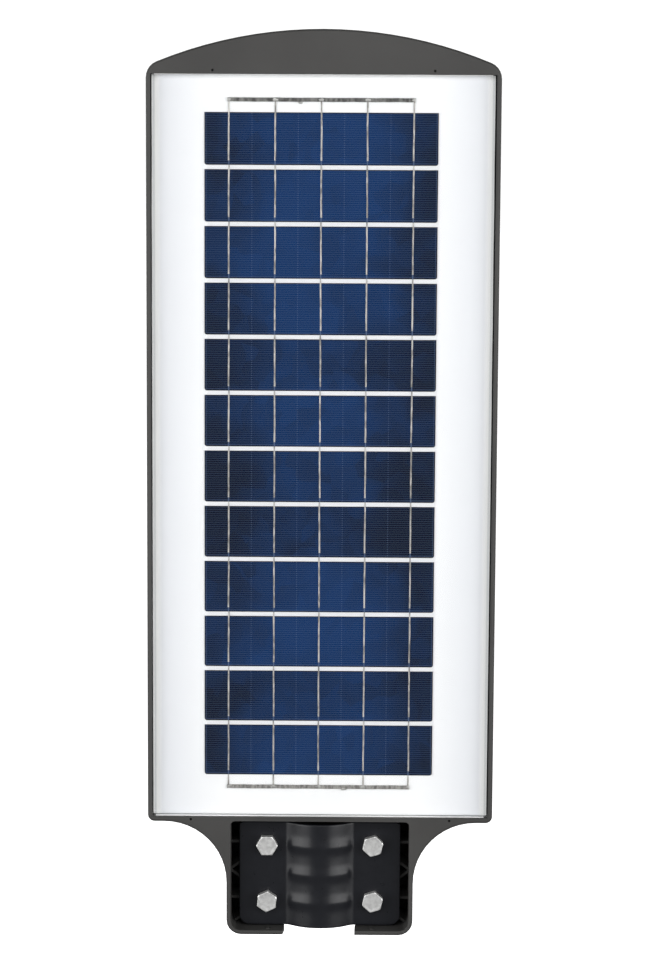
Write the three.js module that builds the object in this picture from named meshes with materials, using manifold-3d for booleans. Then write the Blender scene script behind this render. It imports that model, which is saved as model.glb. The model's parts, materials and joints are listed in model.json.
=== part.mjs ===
// Solar street lamp: an all-in-one lamp head with a solar panel let into its upper side, three LED
// modules under it, a battery and controller inside, and a bolted clamp that grips the pole.
//
// Frame, in millimetres: +Z runs from the pole end to the nose, -Y looks out of the solar panel and
// +X is to the right of someone who looks at the panel. The origin is on the pole's axis, at the
// lamp's pole end. Depths below are measured back from the rim around the panel.

import * as THREE from "three";
import { mergeVertices } from "three/addons/utils/BufferGeometryUtils.js";
import Module from "manifold-3d";

const wasm = await Module();
wasm.setup();

// ---------- driving dimensions ----------

const LENGTH = 620.8;
const HALF_WIDTH = 118.85;
const BODY_DEPTH = 38;
const MOUNT_DEPTH = 50;
const POLE_AXIS_DEPTH = 21;
const FIT = 0.3; // gap between pieces that touch
const CORNER_STEPS = 3;

const RIM_ROUND = 2.4;
const BACK_ROUND = 4;
const WALL = 3;
const FLOOR_DEPTH = 33.5; // inner face of the housing's LED side

const NOSE_RADIUS = 296;
const NOSE_CORNER_RADIUS = 11.5;
const SHOULDER_Z = 80.2;
const SHOULDER_RADIUS = 43;
const SHOULDER_CORNER_RADIUS = 4.5;
const MOUNT_HALF_WIDTH = 64.6;
const MOUNT_CORNER_RADIUS = 10;

const PANEL_HALF_WIDTH = 115.6;
const PANEL_LOW_Z = 84;
const PANEL_HIGH_Z = 591;
const PANEL_CORNER_RADIUS = 0.8;
const PANEL_SHIFT_X = -0.2; // the laminate rests nearer the left side of its pocket
const PANEL_SET_BACK = 2; // glass face behind the rim
const GLASS_THICK = 3.2;
const LAMINATE_BACK = 8.5;
const SEAL_THICK = 0.8;
const LEDGE_WIDTH = 6;

const CELL_COUNT = 12;
const CELL_WIDTH = 156.75;
const CELL_HEIGHT = 35;
const CELL_PITCH = 38;
const CELL_GRID_X = -1.4; // the cell string sits a little left of the centre line
const CELL_GRID_Z = 339.2;
const CELL_DEPTH = 6;
const CELL_THICK = 0.2;
const BUSBAR_COUNT = 5;
const BUSBAR_PITCH = 31;
const RIBBON_WIDTH = 1.4;
const RIBBON_THICK = 0.15;
const RIBBON_DEPTH = 5.55;
const BUS_RIBBON_OFFSET = 234.9; // from the middle of the string to each end ribbon
const BUS_RIBBON_WIDTH = 2.8;
const BUS_RIBBON_HALF_LENGTH = 63;

const RECESS_HALF_WIDTH = 61.7;
const RECESS_LOW_Z = 3.4;
const RECESS_HIGH_Z = 81;
const RECESS_CORNER_RADIUS = 6.5;
const RECESS_TOP_RADIUS = 3;
const NOTCH_LEFT = [26.1, 24.6]; // from the axis, at the rim and at the clamp plate's depth
const NOTCH_RIGHT = [24.1, 24.4];
const RECESS_FLOOR = 46.4;
const POLE_RADIUS = 25.4;
const SADDLE_WALL = 3.5;

const BOLT_X = 36.75;
const BOLT_LOW_Z = 22;
const BOLT_HIGH_Z = 61.8;
const BOLT_RADIUS = 4;
const BOLT_LENGTH = 35;
const BOLT_HEAD_AF = 13;
const BOLT_HEAD_THICK = 5.3;
const BOLT_HOLE_RADIUS = 4.6;
const BOLT_HEAD_TURNS = [0, 25, 17, 17]; // degrees that each head stopped at when tightened
const NUT_AF = 13;
const NUT_THICK = 6.5;
const NUT_POCKET_FRONT = 30;
const BOSS_RADIUS = 9.5;
const BOSS_FRONT = 16.1;

const CLAMP_FRONT = 12;
const CLAMP_THICK = 3.7;
const CLAMP_HALF_WIDTH = 56;
const CLAMP_LOW_Z = 4.2;
const CLAMP_HIGH_Z = 77.7;
const CLAMP_CREST = 2.5; // depth of the top of the half round bulge
const CLAMP_RING_PITCH = 19.9;
const CLAMP_RING_HEIGHT = 1.2;

const LED_COUNT = 3;
const LED_FIRST_Z = 247;
const LED_PITCH = 137;
const LENS_SIZE = 125;
const LENS_SEAT_DEPTH = 36;
const LENS_FACE_DEPTH = 40;
const LENS_BLOCK_SIZE = 98;
const LENS_BLOCK_DEPTH = 43.5;
const LED_WINDOW_SIZE = 100;
const LED_BOARD_SIZE = 106;
const LED_BOARD_THICK = 1.6;
const LENS_SCREW_X = 57.5;

const SENSOR_Z = 142;
const SENSOR_RADIUS = 13;
const SENSOR_TOP = 46.5;
const BUTTON_X = 34;
const BUTTON_RADIUS = 6;
const BUTTON_TOP = 40.6;
const INDICATOR_X = -34;
const INDICATOR_RADIUS = 2.5;

const BATTERY_COUNT = 4;
const BATTERY_RADIUS = 9.2;
const BATTERY_LENGTH = 65;
const BATTERY_PITCH = 20;
const BATTERY_X = -65;
const BATTERY_Z = 145;
const BATTERY_AXIS_DEPTH = 20.2;
const BOARD_BACK = 30.6; // the boards and the battery holder rest on posts at this depth
const CONTROLLER_X = 78;

// ---------- materials ----------

function finish(color, roughness, metalness) {
  return new THREE.MeshStandardMaterial({ color, roughness, metalness });
}

const FINISHES = {
  housing: () => finish(0x4b4a47, 0.55, 0.0),
  clamp: () => finish(0x212327, 0.5, 0.0),
  steel: () => finish(0xc3c5c4, 0.3, 1.0),
  glass: () => finish(0xf4f7f8, 0.05, 0.0),
  backsheet: () => finish(0xf2f3f6, 0.6, 0.0),
  cell: () => finish(0x14264a, 0.25, 0.1),
  ribbon: () => finish(0x9b9a94, 0.35, 0.9),
  lens: () => finish(0xe9eef2, 0.1, 0.0),
  board: () => finish(0xe8e8e4, 0.5, 0.0),
  greenBoard: () => finish(0x1f5a3a, 0.5, 0.0),
  blackPlastic: () => finish(0x17181a, 0.55, 0.0),
  seal: () => finish(0x2a2b2d, 0.8, 0.0),
  battery: () => finish(0x2f6fb0, 0.45, 0.0),
  dome: () => finish(0xe6e6e0, 0.45, 0.0),
  button: () => finish(0xb8322b, 0.6, 0.0),
  indicator: () => finish(0x9fd6a4, 0.2, 0.0),
};

// ---------- outlines, seen from the panel side ----------

const lamp = new THREE.Group();

function arc(x, y, radius, fromDegrees, toDegrees, steps) {
  const points = [];
  for (let i = 0; i <= steps; i += 1) {
    const degrees = fromDegrees + ((toDegrees - fromDegrees) * i) / steps;
    const angle = THREE.MathUtils.degToRad(degrees);
    points.push(new THREE.Vector2(x + radius * Math.cos(angle), y + radius * Math.sin(angle)));
  }
  return points;
}

function outline(points) {
  const kept = points.filter((point, i) => {
    const next = points[(i + 1) % points.length];
    return point.distanceTo(next) > 1e-4;
  });
  return new THREE.Shape(kept);
}

function mirrored(rightSide) {
  const leftSide = rightSide.map((point) => new THREE.Vector2(-point.x, point.y));
  return outline([...rightSide, ...leftSide.reverse()]);
}

// The lamp's outline, or the same outline moved in by inset.
function bodyOutline(inset = 0) {
  const cornerX = HALF_WIDTH - NOSE_CORNER_RADIUS;
  const noseZ = LENGTH - NOSE_RADIUS;
  const cornerRise = Math.sqrt((NOSE_RADIUS - NOSE_CORNER_RADIUS) ** 2 - cornerX ** 2);
  const noseStart = THREE.MathUtils.radToDeg(Math.atan2(cornerRise, cornerX));
  const mountX = MOUNT_HALF_WIDTH - MOUNT_CORNER_RADIUS;
  const shoulderX = MOUNT_HALF_WIDTH + SHOULDER_RADIUS;
  const shoulderZ = SHOULDER_Z - SHOULDER_RADIUS;
  const lowCornerX = HALF_WIDTH - SHOULDER_CORNER_RADIUS;
  const lowCornerZ = SHOULDER_Z + SHOULDER_CORNER_RADIUS;
  return mirrored([
    ...arc(mountX, MOUNT_CORNER_RADIUS, MOUNT_CORNER_RADIUS - inset, -90, 0, 5),
    ...arc(shoulderX, shoulderZ, SHOULDER_RADIUS + inset, 180, 90, 12),
    ...arc(lowCornerX, lowCornerZ, SHOULDER_CORNER_RADIUS - inset, -90, 0, 4),
    ...arc(cornerX, noseZ + cornerRise, NOSE_CORNER_RADIUS - inset, 0, noseStart, 5),
    ...arc(0, noseZ, NOSE_RADIUS - inset, noseStart, 90, 10),
  ]);
}

// A rectangle with its own corner radius at the top and at the bottom.
function plateOutline(halfWidth, lowZ, highZ, lowRadius = 0, highRadius = lowRadius) {
  return mirrored([
    ...arc(halfWidth - lowRadius, lowZ + lowRadius, lowRadius, -90, 0, lowRadius ? CORNER_STEPS : 0),
    ...arc(halfWidth - highRadius, highZ - highRadius, highRadius, 0, 90, highRadius ? CORNER_STEPS : 0),
  ]);
}

function squareOutline(size, x, z, radius) {
  const shape = plateOutline(size / 2, -size / 2, size / 2, radius);
  return moved(shape, x, z);
}

function moved(shape, x, z) {
  const points = shape.getPoints().map((point) => point.clone().add(new THREE.Vector2(x, z)));
  return outline(points);
}

function hexagon(acrossFlats, x, z, turnDegrees = 0) {
  const points = arc(x, z, acrossFlats / Math.sqrt(3), turnDegrees, turnDegrees + 300, 5);
  return new THREE.Shape(points);
}

function disc(radius, x, z, sides = 16) {
  return new THREE.Shape(arc(x, z, radius, 0, 360 * (1 - 1 / sides), sides - 1));
}

// ---------- solids ----------

function yAt(depth) {
  return depth - POLE_AXIS_DEPTH;
}

// An outline made solid between two depths, with its edges rounded on both faces.
function slab(shape, front, back, round = 0, steps = 3) {
  const geometry = new THREE.ExtrudeGeometry(shape, {
    depth: back - front - 2 * round,
    bevelEnabled: round > 0,
    bevelThickness: round,
    bevelSize: round,
    bevelOffset: -round,
    bevelSegments: steps,
  });
  geometry.translate(0, 0, round);
  geometry.rotateX(Math.PI / 2);
  geometry.translate(0, yAt(back), 0);
  return geometry;
}

function block(x0, x1, front, back, z0, z1) {
  const geometry = new THREE.BoxGeometry(x1 - x0, back - front, z1 - z0);
  return geometry.translate((x0 + x1) / 2, yAt((front + back) / 2), (z0 + z1) / 2);
}

// A rod along the pole's direction.
function rod(radius, x, depth, z0, z1, sides = 24) {
  const geometry = new THREE.CylinderGeometry(radius, radius, z1 - z0, sides);
  geometry.rotateX(Math.PI / 2);
  return geometry.translate(x, yAt(depth), (z0 + z1) / 2);
}

// A turned solid on an axis that runs through the lamp's depth; the profile is [radius, depth].
function turned(profile, x, z, sides = 24) {
  const geometry = new THREE.LatheGeometry(
    profile.map(([radius, depth]) => new THREE.Vector2(radius, depth)),
    sides,
  );
  return geometry.translate(x, -POLE_AXIS_DEPTH, z);
}

function solid(geometry) {
  const bare = geometry.index ? geometry.toNonIndexed() : geometry.clone();
  bare.deleteAttribute("normal");
  bare.deleteAttribute("uv");
  const merged = mergeVertices(bare, 1e-4);
  const triangles = [];
  const index = merged.index.array;
  for (let i = 0; i < index.length; i += 3) {
    const [a, b, c] = [index[i], index[i + 1], index[i + 2]];
    if (a !== b && b !== c && c !== a) {
      triangles.push(a, b, c);
    }
  }
  const mesh = new wasm.Mesh({
    numProp: 3,
    vertProperties: merged.attributes.position.array,
    triVerts: new Uint32Array(triangles),
  });
  return new wasm.Manifold(mesh);
}

function joined(first, ...others) {
  return others.reduce((whole, other) => whole.add(other), first);
}

function cut(first, ...others) {
  return others.reduce((whole, other) => whole.subtract(other), first);
}

function place(name, material, shape) {
  let geometry = shape;
  if (!shape.isBufferGeometry) {
    const mesh = shape.getMesh();
    geometry = new THREE.BufferGeometry();
    geometry.setAttribute("position", new THREE.BufferAttribute(mesh.vertProperties, 3));
    geometry.setIndex(new THREE.BufferAttribute(mesh.triVerts, 1));
    geometry = geometry.toNonIndexed();
    geometry.computeVertexNormals();
  }
  const node = new THREE.Mesh(geometry, FINISHES[material]());
  node.name = name;
  lamp.add(node);
}

function boltPlaces() {
  return [
    [-BOLT_X, BOLT_HIGH_Z],
    [-BOLT_X, BOLT_LOW_Z],
    [BOLT_X, BOLT_HIGH_Z],
    [BOLT_X, BOLT_LOW_Z],
  ];
}

function ledPlaces() {
  return Array.from({ length: LED_COUNT }, (_, i) => LED_FIRST_Z + i * LED_PITCH);
}

// ---------- housing ----------

// The sleeve that thickens the mount end around the pole and slopes down to the LED side.
function mountSleeve() {
  const top = 118;
  const slopeFoot = 104;
  const slopeHead = 86;
  const sleeve = solid(
    slab(plateOutline(MOUNT_HALF_WIDTH, 0, top, MOUNT_CORNER_RADIUS, 6), 8, MOUNT_DEPTH, 5),
  );
  const rise = (slopeFoot - slopeHead) / (MOUNT_DEPTH - BODY_DEPTH);
  const side = new THREE.Shape([
    new THREE.Vector2(0, -1),
    new THREE.Vector2(MOUNT_DEPTH + 10, -1),
    new THREE.Vector2(MOUNT_DEPTH + 10, slopeHead - 10 * rise),
    new THREE.Vector2(BODY_DEPTH - 8, slopeFoot + 8 * rise),
    new THREE.Vector2(0, slopeFoot + 8 * rise),
  ]);
  const wedge = new THREE.ExtrudeGeometry(side, { depth: 160, bevelEnabled: false });
  wedge.rotateX(Math.PI / 2);
  wedge.rotateZ(Math.PI / 2);
  wedge.translate(-80, yAt(0), 0);
  return sleeve.intersect(solid(wedge));
}

function posts(places, front) {
  return places.map(([x, z]) => solid(slab(disc(3, x, z, 10), front, FLOOR_DEPTH + 1)));
}

function boardPosts() {
  const places = [];
  for (const z of [BATTERY_Z - 37, BATTERY_Z + 37]) {
    places.push([BATTERY_X - 38, z], [BATTERY_X + 30, z]);
  }
  for (const z of [BATTERY_Z - 27, BATTERY_Z + 27]) {
    places.push([CONTROLLER_X - 24, z], [CONTROLLER_X + 24, z]);
  }
  return posts(places, BOARD_BACK + FIT);
}

// Ribs that stiffen the recess between the bolt bosses, the side walls and the corners.
function recessRibs() {
  const ribs = [];
  const thick = 1.8;
  const front = BOSS_FRONT + 3;
  const middle = (BOLT_LOW_Z + BOLT_HIGH_Z) / 2;
  const outer = RECESS_HALF_WIDTH + 1;
  for (const side of [-1, 1]) {
    for (const z of [BOLT_LOW_Z, BOLT_HIGH_Z]) {
      const [x0, x1] = [side * BOLT_X, side * outer].sort((a, b) => a - b);
      ribs.push(solid(block(x0, x1, front, RECESS_FLOOR + 1, z - thick / 2, z + thick / 2)));
    }
    for (const z of [BOLT_LOW_Z, BOLT_HIGH_Z]) {
      ribs.push(diagonalRib(side * BOLT_X, z, side * outer, middle, thick, front));
    }
    ribs.push(diagonalRib(side * BOLT_X, BOLT_LOW_Z, side * outer, RECESS_LOW_Z - 1, thick, front));
  }
  return ribs;
}

function diagonalRib(x0, z0, x1, z1, thick, front) {
  const along = new THREE.Vector2(x1 - x0, z1 - z0);
  const across = new THREE.Vector2(-along.y, along.x).setLength(thick / 2);
  const shape = new THREE.Shape([
    new THREE.Vector2(x0, z0).sub(across),
    new THREE.Vector2(x1, z1).sub(across),
    new THREE.Vector2(x1, z1).add(across),
    new THREE.Vector2(x0, z0).add(across),
  ]);
  return solid(slab(shape, front, RECESS_FLOOR + 1));
}

function recessFurniture() {
  const saddle = block(
    -POLE_RADIUS - SADDLE_WALL,
    POLE_RADIUS + SADDLE_WALL,
    BOSS_FRONT,
    RECESS_FLOOR + 1,
    RECESS_LOW_Z - 1,
    RECESS_HIGH_Z + 1,
  );
  const bosses = boltPlaces().map(([x, z]) =>
    solid(slab(disc(BOSS_RADIUS, x, z), BOSS_FRONT, RECESS_FLOOR + 1)),
  );
  const limit = solid(
    slab(
      plateOutline(RECESS_HALF_WIDTH + 1, RECESS_LOW_Z - 1, RECESS_HIGH_Z + 1, RECESS_CORNER_RADIUS),
      0,
      RECESS_FLOOR + 1,
    ),
  );
  return joined(solid(saddle), ...bosses, ...recessRibs()).intersect(limit);
}

// The notch in the end wall that the pole comes in by.
function poleNotch() {
  const section = outline([
    new THREE.Vector2(-NOTCH_LEFT[0], -2),
    new THREE.Vector2(NOTCH_RIGHT[0], -2),
    new THREE.Vector2(NOTCH_RIGHT[1], CLAMP_FRONT),
    new THREE.Vector2(POLE_RADIUS, POLE_AXIS_DEPTH),
    new THREE.Vector2(-POLE_RADIUS, POLE_AXIS_DEPTH),
    new THREE.Vector2(-NOTCH_LEFT[1], CLAMP_FRONT),
  ]);
  const notch = new THREE.ExtrudeGeometry(section, {
    depth: RECESS_LOW_Z + 4,
    bevelEnabled: false,
  });
  return solid(notch.translate(0, -POLE_AXIS_DEPTH, -2));
}

function poleTrough() {
  const top = RECESS_HIGH_Z;
  const round = solid(rod(POLE_RADIUS, 0, POLE_AXIS_DEPTH, -2, top, 32));
  const upper = solid(
    block(-POLE_RADIUS, POLE_RADIUS, BOSS_FRONT - 2, POLE_AXIS_DEPTH, RECESS_LOW_Z, top),
  );
  return joined(round, poleNotch(), upper);
}

function housing() {
  const front = solid(slab(bodyOutline(), 0, BODY_DEPTH + 20, RIM_ROUND, 3));
  const back = solid(slab(bodyOutline(), -20, BODY_DEPTH, BACK_ROUND, 3));
  let body = front.intersect(back).add(mountSleeve());

  // Panel pocket, its ledge, and the hollow behind it, which reaches into the nose.
  const ledgeDepth = LAMINATE_BACK + 2 * FIT + SEAL_THICK;
  const pocket = plateOutline(
    PANEL_HALF_WIDTH,
    PANEL_LOW_Z,
    PANEL_HIGH_Z,
    PANEL_CORNER_RADIUS,
  );
  const opening = plateOutline(
    PANEL_HALF_WIDTH - LEDGE_WIDTH,
    PANEL_LOW_Z + LEDGE_WIDTH,
    PANEL_HIGH_Z - LEDGE_WIDTH,
    2,
  );
  const above = solid(block(-150, 150, -30, 80, PANEL_LOW_Z + 2, LENGTH + 10));
  const nose = solid(block(-150, 150, -30, 80, PANEL_HIGH_Z + WALL, LENGTH + 10));
  const hollow = solid(slab(bodyOutline(WALL), ledgeDepth + WALL, FLOOR_DEPTH)).intersect(above);
  const noseHollow = solid(slab(bodyOutline(WALL), WALL, FLOOR_DEPTH)).intersect(nose);
  body = cut(
    body,
    solid(slab(pocket, -1, ledgeDepth)),
    solid(slab(opening, 1, FLOOR_DEPTH)),
    hollow,
    noseHollow,
  );

  // Clamp recess with its bosses and ribs, then the trough for the pole.
  const recess = plateOutline(
    RECESS_HALF_WIDTH,
    RECESS_LOW_Z,
    RECESS_HIGH_Z,
    RECESS_CORNER_RADIUS,
    RECESS_TOP_RADIUS,
  );
  body = cut(body, solid(slab(recess, -1, RECESS_FLOOR)));
  body = cut(body.add(recessFurniture()), poleTrough());
  for (const [x, z] of boltPlaces()) {
    body = cut(
      body,
      solid(slab(disc(BOLT_HOLE_RADIUS, x, z, 16), BOSS_FRONT - 1, NUT_POCKET_FRONT + 1)),
      solid(slab(hexagon(NUT_AF + 2 * FIT, x, z, 30), NUT_POCKET_FRONT, MOUNT_DEPTH + 1)),
    );
  }

  // Small locating ribs on the recess's end wall, below the clamp plate's lower edge.
  for (const x of [-BOLT_X + 0.8, BOLT_X - 0.8]) {
    body = body.add(solid(block(x - 1, x + 1, 4, 12, RECESS_LOW_Z - 1, CLAMP_LOW_Z - FIT)));
  }

  // LED windows with the seats of the lens plates, and bosses for the lens screws.
  for (const z of ledPlaces()) {
    const screws = [-LENS_SCREW_X, LENS_SCREW_X];
    body = joined(
      body,
      ...screws.map((x) => solid(slab(disc(3.5, x, z, 12), 26, FLOOR_DEPTH + 1))),
    );
    body = cut(
      body,
      solid(slab(squareOutline(LENS_SIZE + 2 * FIT, 0, z, 4.3), LENS_SEAT_DEPTH, 60)),
      solid(slab(squareOutline(LED_WINDOW_SIZE, 0, z, 3), 30, 60)),
      ...screws.map((x) => solid(slab(disc(1.6, x, z, 10), 27, 60))),
    );
  }

  // Posts for the boards, and the holes of the sensor, the button and the indicator.
  body = joined(body, ...boardPosts());
  body = cut(
    body,
    solid(slab(disc(SENSOR_RADIUS + FIT, 0, SENSOR_Z, 24), 30, 60)),
    solid(slab(disc(BUTTON_RADIUS + FIT, BUTTON_X, SENSOR_Z, 20), 30, 60)),
    solid(slab(disc(INDICATOR_RADIUS + FIT, INDICATOR_X, SENSOR_Z, 12), 30, 60)),
  );

  // Pinholes in the rim, two above the panel and two below it.
  for (const [x, z] of [[74.1, 593.3], [89.1, 82.2]]) {
    for (const side of [-1, 1]) {
      body = cut(body, solid(slab(disc(0.85, side * x, z, 10), -1, 6)));
    }
  }
  place("housing", "housing", body);
}

// ---------- solar panel ----------

function panel() {
  const edge = FIT + 0.2;
  const centred = plateOutline(
    PANEL_HALF_WIDTH - edge,
    PANEL_LOW_Z + edge,
    PANEL_HIGH_Z - edge,
    PANEL_CORNER_RADIUS,
  );
  const sheet = moved(centred, PANEL_SHIFT_X, 0);
  place(
    "panel_glass",
    "glass",
    solid(slab(sheet, PANEL_SET_BACK, PANEL_SET_BACK + GLASS_THICK, 0.5, 1)),
  );
  place("panel_backsheet", "backsheet", solid(slab(sheet, CELL_DEPTH + 0.5, LAMINATE_BACK)));
  const sealFront = LAMINATE_BACK + FIT;
  const sealHole = plateOutline(
    PANEL_HALF_WIDTH - LEDGE_WIDTH + 1,
    PANEL_LOW_Z + LEDGE_WIDTH - 1,
    PANEL_HIGH_Z - LEDGE_WIDTH + 1,
    2,
  );
  place(
    "panel_seal",
    "seal",
    cut(
      solid(slab(sheet, sealFront, sealFront + SEAL_THICK)),
      solid(slab(sealHole, sealFront - 1, sealFront + SEAL_THICK + 1)),
    ),
  );
  place("junction_box", "blackPlastic", solid(slab(
    moved(plateOutline(24, -14, 14, 3), 0, PANEL_LOW_Z + 40),
    LAMINATE_BACK + FIT,
    LAMINATE_BACK + 12,
    1,
    1,
  )));
}

function cellString() {
  const middle = (CELL_COUNT - 1) / 2;
  for (let i = 0; i < CELL_COUNT; i += 1) {
    const z = CELL_GRID_Z + (middle - i) * CELL_PITCH;
    const x0 = CELL_GRID_X - CELL_WIDTH / 2;
    place(
      `solar_cell_${String(i + 1).padStart(2, "0")}`,
      "cell",
      block(
        x0,
        x0 + CELL_WIDTH,
        CELL_DEPTH,
        CELL_DEPTH + CELL_THICK,
        z - CELL_HEIGHT / 2,
        z + CELL_HEIGHT / 2,
      ),
    );
  }
}

function ribbons() {
  const reach = BUS_RIBBON_OFFSET - BUS_RIBBON_WIDTH / 2 - FIT;
  const back = RIBBON_DEPTH + RIBBON_THICK;
  for (let i = 0; i < BUSBAR_COUNT; i += 1) {
    const x = CELL_GRID_X + (i - (BUSBAR_COUNT - 1) / 2) * BUSBAR_PITCH;
    place(
      `tab_ribbon_${i + 1}`,
      "ribbon",
      block(
        x - RIBBON_WIDTH / 2,
        x + RIBBON_WIDTH / 2,
        RIBBON_DEPTH,
        back,
        CELL_GRID_Z - reach,
        CELL_GRID_Z + reach,
      ),
    );
  }
  for (const [name, side] of [["top_bus_ribbon", 1], ["bottom_bus_ribbon", -1]]) {
    const z = CELL_GRID_Z + side * BUS_RIBBON_OFFSET;
    place(
      name,
      "ribbon",
      block(
        CELL_GRID_X - BUS_RIBBON_HALF_LENGTH,
        CELL_GRID_X + BUS_RIBBON_HALF_LENGTH,
        RIBBON_DEPTH,
        back,
        z - BUS_RIBBON_WIDTH / 2,
        z + BUS_RIBBON_WIDTH / 2,
      ),
    );
  }
}

// ---------- clamp ----------

// The plate's cross section: two flanges and a half round bulge that follows the pole.
function clampSection() {
  const outerRadius = POLE_RADIUS + CLAMP_THICK;
  const centre = CLAMP_CREST + outerRadius;
  const back = CLAMP_FRONT + CLAMP_THICK;
  const outerHalf = THREE.MathUtils.radToDeg(Math.acos((centre - CLAMP_FRONT) / outerRadius));
  const innerHalf = THREE.MathUtils.radToDeg(Math.acos((centre - back) / POLE_RADIUS));
  return outline([
    new THREE.Vector2(-CLAMP_HALF_WIDTH, CLAMP_FRONT),
    ...arc(0, centre, outerRadius, -90 - outerHalf, -90 + outerHalf, 16),
    new THREE.Vector2(CLAMP_HALF_WIDTH, CLAMP_FRONT),
    new THREE.Vector2(CLAMP_HALF_WIDTH, back),
    ...arc(0, centre, POLE_RADIUS, -90 + innerHalf, -90 - innerHalf, 14),
    new THREE.Vector2(-CLAMP_HALF_WIDTH, back),
  ]);
}

function clampRing(z) {
  const outerRadius = POLE_RADIUS + CLAMP_THICK;
  const crest = outerRadius + CLAMP_RING_HEIGHT;
  const profile = [
    [outerRadius - 2, -5],
    [outerRadius, -4.5],
    [crest - 0.3, -2.4],
    [crest, 0],
    [crest - 0.3, 2.4],
    [outerRadius, 4.5],
    [outerRadius - 2, 5],
    [outerRadius - 2, -5],
  ];
  const ring = new THREE.LatheGeometry(
    profile.map(([radius, height]) => new THREE.Vector2(radius, height)),
    48,
  );
  ring.rotateX(Math.PI / 2);
  ring.translate(0, yAt(CLAMP_CREST + outerRadius), z);
  return solid(ring);
}

function clampPlate() {
  const bar = new THREE.ExtrudeGeometry(clampSection(), {
    depth: CLAMP_HIGH_Z - CLAMP_LOW_Z,
    bevelEnabled: false,
  });
  bar.translate(0, -POLE_AXIS_DEPTH, CLAMP_LOW_Z);
  const face = slab(plateOutline(CLAMP_HALF_WIDTH, CLAMP_LOW_Z, CLAMP_HIGH_Z, 7, 3), -5, 20);
  const middle = (BOLT_LOW_Z + BOLT_HIGH_Z) / 2;
  const front = solid(block(-40, 40, -5, CLAMP_FRONT + 1, 0, 90));
  let plate = solid(bar).intersect(solid(face));
  for (const step of [-1, 0, 1]) {
    plate = plate.add(clampRing(middle + step * CLAMP_RING_PITCH).intersect(front));
  }
  for (const [x, z] of boltPlaces()) {
    plate = cut(plate, solid(slab(disc(BOLT_HOLE_RADIUS, x, z, 16), 5, 20)));
  }
  place("clamp_plate", "clamp", plate);
}

function clampBolts() {
  boltPlaces().forEach(([x, z], i) => {
    const headFront = CLAMP_FRONT - FIT - BOLT_HEAD_THICK;
    const seat = CLAMP_FRONT - FIT;
    const head = solid(slab(hexagon(BOLT_HEAD_AF, x, z, BOLT_HEAD_TURNS[i]), headFront, seat));
    const corner = BOLT_HEAD_AF / Math.sqrt(3);
    const crown = turned(
      [
        [0, headFront],
        [BOLT_HEAD_AF / 2 - 0.2, headFront],
        [corner + 0.1, headFront + 0.9],
        [corner + 0.1, seat + 1],
        [0, seat + 1],
      ],
      x,
      z,
      24,
    );
    const tip = seat + BOLT_LENGTH;
    const shank = turned(
      [
        [0, seat - 2],
        [BOLT_RADIUS, seat - 2],
        [BOLT_RADIUS, tip - 1],
        [BOLT_RADIUS - 1, tip],
        [0, tip],
      ],
      x,
      z,
      16,
    );
    place(`clamp_bolt_${i + 1}`, "steel", head.intersect(solid(crown)).add(solid(shank)));
  });
}

function clampNuts() {
  boltPlaces().forEach(([x, z], i) => {
    const front = NUT_POCKET_FRONT + FIT;
    const body = solid(slab(hexagon(NUT_AF, x, z, 30), front, front + NUT_THICK));
    const bore = solid(slab(disc(BOLT_RADIUS + FIT, x, z, 16), front - 1, front + NUT_THICK + 1));
    place(`clamp_nut_${i + 1}`, "steel", cut(body, bore));
  });
}

// ---------- LED modules ----------

function ledModules() {
  ledPlaces().forEach((z, i) => {
    const screws = [-LENS_SCREW_X, LENS_SCREW_X];
    const seat = LENS_SEAT_DEPTH + FIT;
    const plate = joined(
      solid(slab(squareOutline(LENS_SIZE, 0, z, 4), seat, LENS_FACE_DEPTH, 0.6, 1)),
      solid(slab(squareOutline(LENS_BLOCK_SIZE, 0, z, 6), seat + 1, LENS_BLOCK_DEPTH, 1.2, 1)),
    );
    const relief = solid(
      slab(squareOutline(LENS_BLOCK_SIZE - 4, 0, z, 4), seat - 1, LENS_BLOCK_DEPTH - 2.2),
    );
    const holes = screws.map((x) => solid(slab(disc(1.9, x, z, 12), 30, 60)));
    place(`lens_plate_${i + 1}`, "lens", cut(plate, relief, ...holes));
    const boardBack = FLOOR_DEPTH - FIT;
    place(
      `led_board_${i + 1}`,
      "board",
      slab(squareOutline(LED_BOARD_SIZE, 0, z, 2), boardBack - LED_BOARD_THICK, boardBack),
    );
    screws.forEach((x, side) => {
      const head = LENS_FACE_DEPTH + FIT;
      place(
        `lens_screw_${2 * i + side + 1}`,
        "steel",
        turned(
          [
            [0, 29],
            [1.3, 29],
            [1.3, head],
            [2.9, head],
            [2.9, head + 1],
            [2, head + 1.9],
            [0, head + 2.1],
          ],
          x,
          z,
          12,
        ),
      );
    });
  });
}

// ---------- sensor, button and indicator ----------

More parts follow.
